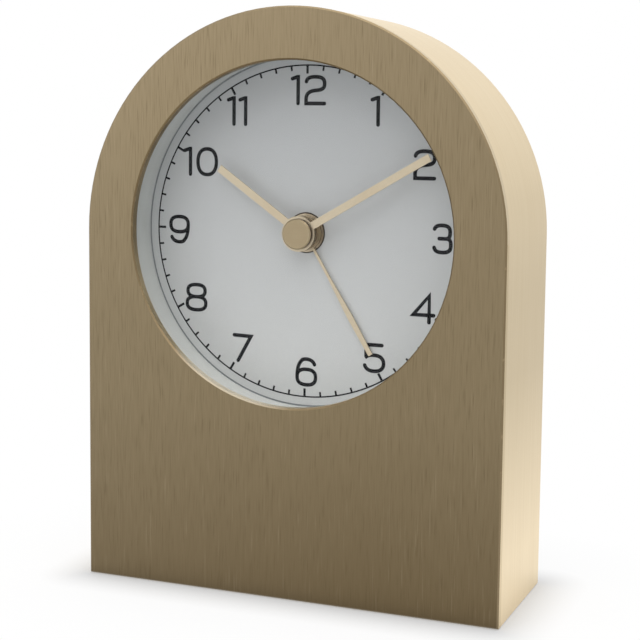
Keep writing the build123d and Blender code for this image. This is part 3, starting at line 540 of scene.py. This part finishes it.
def ribbon(mesh, line, width, lift):
    """A flat stroke along a line of points, with mitred corners and round ends."""
    points = [Vector(p) for p in line]
    points = [p for i, p in enumerate(points) if i == 0 or (p - points[i - 1]).length > SAME_POINT]
    closed = (points[0] - points[-1]).length < CLOSED_GAP
    if closed:
        points.pop()
    count = len(points)
    left, right = [], []
    for i, point in enumerate(points):
        before = points[i - 1] if closed or i else None
        after = points[(i + 1) % count] if closed or i < count - 1 else None
        ways = (point - before if before else None, after - point if after else None)
        ways = [way.normalized() for way in ways if way]
        sides = [Vector((-w.y, w.x)) for w in ways]
        side = sum(sides, Vector((0, 0))).normalized()
        reach = width / 2 / max(MITRE_COSINE, side.dot(sides[0]))
        left.append(point + side * reach)
        right.append(point - side * reach)

    def corner(p):
        return mesh.verts.new((p.x, dial_front - lift, p.y))

    low, high = [corner(p) for p in right], [corner(p) for p in left]
    for i in range(count if closed else count - 1):
        j = (i + 1) % count
        mesh.faces.new((low[i], low[j], high[j], high[i]))
    if not closed:
        for end, near, heading in ((0, 1, -1), (count - 1, count - 2, 1)):
            way = (points[end] - points[near]).normalized()
            base = atan2(way.y, way.x)
            fan = [corner(points[end] + Vector((cos(base + a), sin(base + a))) * width / 2)
                   for a in (radians(t) for t in range(-FAN_REACH, FAN_REACH + 1, FAN_STEP))]
            first, last = (low[end], high[end]) if heading > 0 else (high[end], low[end])
            mesh.faces.new((first, *fan, last))


def circle(mesh, radius, width, lift):
    """A flat ring on the dial, centred on the axis of the hands; the radius is that of the line's middle."""
    line = [(radius * cos(radians(a)), dial_height + radius * sin(radians(a)))
            for a in range(0, 360, CIRCLE_STEP)]
    ribbon(mesh, line + [line[0]], width, lift)


def thicken(mesh, depth):
    """Gives flat ink its thickness, towards the dial."""
    faces = bmesh.ops.extrude_face_region(mesh, geom=mesh.faces[:])
    moved = [v for v in faces["geom"] if isinstance(v, bmesh.types.BMVert)]
    bmesh.ops.translate(mesh, verts=moved, vec=(0, depth, 0))


def finish_piece(mesh, name, material, body):
    """Closes a bmesh into an object that rides on a body."""
    bmesh.ops.recalc_face_normals(mesh, faces=mesh.faces)
    data = bpy.data.meshes.new(name)
    mesh.to_mesh(data)
    mesh.free()
    made = bpy.data.objects.new(name, data)
    bpy.context.scene.collection.objects.link(made)
    data.materials.append(material)
    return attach(made, body)


# Numerals: centre from the axis of the hands, and the gap between two digits, in millimetres
numeral_places = {
    "12": (0.25, 32.1, 1.1), "1": (16.3, 27.5, 0), "2": (28.05, 15.95, 0), "3": (32.45, -0.15, 0),
    "4": (28.3, -15.8, 0), "5": (16.85, -27.6, 0), "6": (0.4, -31.95, 0), "7": (-15.75, -27.5, 0),
    "8": (-27.75, -16.25, 0), "9": (-32.25, -0.4, 0), "10": (-26.75, 15.55, 1.1), "11": (-17.45, 27.3, 0.65),
}
ink = speckled("dial_ink", 3000, tone(6, 8, 12), tone(15, 17, 22), 0.4, 0.6, 0.3, **gloss_level(0.15))
line_height = DIGIT_HEIGHT - STROKE
for text, (x, z, gap) in numeral_places.items():
    mesh = bmesh.new()
    widths = [digit_shares[digit][0] * line_height for digit in text]
    outer = sum(widths) + len(text) * STROKE + gap * MM * (len(text) - 1)
    left_edge = x * MM - outer / 2 + STROKE / 2
    foot = dial_height + z * MM - line_height / 2
    for digit, wide in zip(text, widths):
        # Each stroke of a digit lies a hair above the one before it, so that no two share a plane
        for number, line in enumerate(digit_shares[digit][1]):
            spot = [(left_edge + a * wide, foot + b * line_height) for a, b in line]
            ribbon(mesh, spot, STROKE, INK_LIFT + number * STROKE_STEP)
        left_edge += wide + STROKE + gap * MM
    thicken(mesh, INK_LIFT)
    finish_piece(mesh, "numeral_" + text, ink, "case")

# Minute track: a thin circle with sixty ticks on its inner side, longer and wider at the hours
TRACK_RADIUS, TRACK_LINE = 37.7 * MM, 0.32 * MM
HOUR_TICK, MINUTE_TICK = 1.9 * MM, 1.15 * MM
HOUR_TICK_HALF, MINUTE_TICK_HALF = 0.28 * MM, 0.23 * MM
TICK_GAP = 0.01 * MM
TICKS, TICKS_PER_HOUR = 60, 5
mesh = bmesh.new()
circle(mesh, TRACK_RADIUS, TRACK_LINE, INK_LIFT)
for tick in range(TICKS):
    angle = radians(tick * 360 / TICKS)
    way = Vector((sin(angle), cos(angle)))
    hour = tick % TICKS_PER_HOUR == 0
    near = TRACK_RADIUS - (HOUR_TICK if hour else MINUTE_TICK)
    far = TRACK_RADIUS - TRACK_LINE / 2 - TICK_GAP
    side = Vector((way.y, -way.x)) * (HOUR_TICK_HALF if hour else MINUTE_TICK_HALF)
    corners = [way * near - side, way * near + side, way * far + side, way * far - side]
    mesh.faces.new([mesh.verts.new((c.x, dial_front - INK_LIFT, dial_height + c.y)) for c in corners])
thicken(mesh, INK_LIFT)
finish_piece(mesh, "minute_track", ink, "case")

# A thin washer under the hands with a dark painted shadow line round it, and a grey painted shadow line at the
# foot of the reflector ring
WASHER_RADIUS, WASHER_THICK, WASHER_PLAY = 4.35 * MM, 0.2 * MM, 0.1 * MM
HUB_LINE_INSIDE, HUB_LINE_OUTSIDE = 0.1 * MM, 0.3 * MM
EDGE_LINE_FROM, EDGE_LINE_TO = 0.47 * MM, 0.14 * MM


def ring_band(name, inner, outer, lift, material):
    """A flat ring on the dial as a piece of its own, from one radius to another."""
    mesh = bmesh.new()
    circle(mesh, (inner + outer) / 2, outer - inner, lift)
    thicken(mesh, lift)
    return finish_piece(mesh, name, material, "case")


# Painted shadow: a dark brown line on the dial round the washer
painted_shadow_brown = speckled("painted_shadow_brown", 2000, tone(48, 38, 28), tone(66, 54, 40), 0.5, 0.7, 0.3)
edge_grey = speckled("dial_edge_grey", 1500, tone(120, 125, 128), tone(140, 145, 147), 0.4, 0.6, 0.2)
ring_band("hub_shadow_line", WASHER_RADIUS - HUB_LINE_INSIDE, WASHER_RADIUS + HUB_LINE_OUTSIDE, INK_LIFT,
          painted_shadow_brown)
ring_band("hub_washer", dial_bore + WASHER_PLAY, WASHER_RADIUS, WASHER_THICK, hand_metal)
# Painted shadow: a grey line on the dial at the foot of the reflector ring
ring_band("dial_edge_line", ring_radius - EDGE_LINE_FROM, ring_radius - EDGE_LINE_TO, INK_LIFT, edge_grey)


# Floor, light and camera

def seen_rays(tree):
    """One for rays from the camera, also by way of metal or glass, and nothing for soft light."""
    ray = add(tree, "LightPath").outputs
    return calc(tree, "MAXIMUM", calc(tree, "MAXIMUM", ray["Is Camera Ray"], ray["Is Glossy Ray"]),
                ray["Is Transmission Ray"])


# The floor is lit and takes the clock's shadow, and close round the foot of the case its colour is painted
# darker grey as a contact shadow.
# What the camera sees of it is blended with white: a little at the foot of the case, mostly where the close
# shadow ends, and wholly where the far shadow ends.
FLOOR_HALF, FLOOR_DROP, FLOOR_CELLS, FLOOR_SQUARES = 3.0, 0.0002, 6, 8
CONTACT, CLOSE_SHADOW, FAR_SHADOW = 0.001, 0.012, 0.045
WHITE_AT_FOOT, WHITE_MOSTLY = 0.3, 0.87

floor_material, tree, shader = new_material("studio_floor", 0.0, **gloss_level(0.2))
mottle = noise(tree, FLOOR_CELLS, 2.0)
x, y, z = place(tree)
beside = calc(tree, "MAXIMUM", calc(tree, "SUBTRACT", calc(tree, "ABSOLUTE", x), plate_high.x), 0)
before = calc(tree, "MAXIMUM", calc(tree, "SUBTRACT", calc(tree, "ABSOLUTE", y), -plate_low.y), 0)
away = length(tree, beside, before)
shade = blend_colours(tree, mottle, tone(244, 244, 244), tone(249, 249, 249))
# Painted contact shadow: darker grey within the close shadow round the foot of the case
shade = blend_colours(tree, remap(tree, away, CONTACT, CLOSE_SHADOW), tone(202, 203, 205), shade)
wear(tree, shader, shade, spread(tree, mottle, 0.6, 0.75))
lift = calc(tree, "ADD", remap(tree, away, 0.0, CLOSE_SHADOW, WHITE_AT_FOOT, WHITE_MOSTLY),
            remap(tree, away, CLOSE_SHADOW, FAR_SHADOW, 0.0, 1 - WHITE_MOSTLY))
lift = calc(tree, "MULTIPLY", seen_rays(tree), lift)
white = add(tree, "Emission", {"Color": (1, 1, 1, 1), "Strength": 1.0})
lifted = add(tree, "MixShader", {0: lift, 1: shader.outputs[0], 2: white.outputs[0]})
tree.links.new(lifted.outputs[0], tree.nodes["Material Output"].inputs["Surface"])
mesh = bmesh.new()
bmesh.ops.create_grid(mesh, x_segments=FLOOR_SQUARES, y_segments=FLOOR_SQUARES, size=FLOOR_HALF)
data = bpy.data.meshes.new("studio_floor")
mesh.to_mesh(data)
mesh.free()
floor = bpy.data.objects.new("studio_floor", data)
data.materials.append(floor_material)
floor.location.z = -FLOOR_DROP
bpy.context.scene.collection.objects.link(floor)

# The world lights soft surfaces less than metal and glass see of it
SOFT_LEVEL, SEEN_LEVEL = 0.6, 1.0
world = bpy.data.worlds.new("studio")
bpy.context.scene.world = world
world.use_nodes = True
tree = world.node_tree
tree.nodes.clear()
level = remap(tree, seen_rays(tree), 0, 1, SOFT_LEVEL, SEEN_LEVEL)
background = add(tree, "Background", {"Color": (1, 1, 1, 1), "Strength": level})
tree.links.new(background.outputs[0], add(tree, "OutputWorld").inputs["Surface"])

# Each square lamp: where it hangs, the point that it looks at, its side in metres and its power in watts
lamps = {
    "key": ((0.0, -0.5, 0.95), (0, 0, 0.07), 1.3, 5.5),
    "left": ((-0.85, -0.6, 0.3), (-0.03, 0, 0.07), 0.5, 1.2),
    "right": ((0.6, -0.1, 0.85), (0.04, 0, 0.1), 0.7, 1.2),
    "over": ((-0.03, 0.2, 1.0), (0, 0, 0), 0.5, 1.2),
}
for name, (location, target, size, power) in lamps.items():
    data = bpy.data.lights.new(name, "AREA")
    data.shape = "SQUARE"
    data.size = size
    data.energy = power
    lamp = bpy.data.objects.new(name, data)
    lamp.location = location
    lamp.rotation_mode = "QUATERNION"
    lamp.rotation_quaternion = (Vector(target) - Vector(location)).to_track_quat("-Z", "Y")
    bpy.context.scene.collection.objects.link(lamp)

# Camera: place, angles, focal length and shift fitted to the case corners and the dial in the photograph
FRAME_PIXELS, FOCAL_PIXELS, SHIFT_PIXELS = 640, 1448.2, (-20, -50)
SENSOR_WIDTH = 36.0
CAMERA_PLACE = (0.12733, -0.30811, 0.10647)
yaw, pitch, roll = 0.37507, 0.10001, 0.01184
forward = Vector((-sin(yaw) * cos(pitch), cos(yaw) * cos(pitch), -sin(pitch)))
right = Vector((cos(yaw), sin(yaw), 0))
up = right.cross(forward)
right, up = cos(roll) * right + sin(roll) * up, cos(roll) * up - sin(roll) * right
turn = Matrix((right, up, -forward)).transposed()
data = bpy.data.cameras.new("camera")
data.sensor_width = SENSOR_WIDTH
data.lens = FOCAL_PIXELS / FRAME_PIXELS * SENSOR_WIDTH
data.shift_x, data.shift_y = (pixels / FRAME_PIXELS for pixels in SHIFT_PIXELS)
data.clip_start = 0.01
camera = bpy.data.objects.new("camera", data)
camera.matrix_world = Matrix.Translation(CAMERA_PLACE) @ turn.to_4x4()
bpy.context.scene.collection.objects.link(camera)
bpy.context.scene.camera = camera
bpy.context.scene.view_settings.view_transform = "Standard"
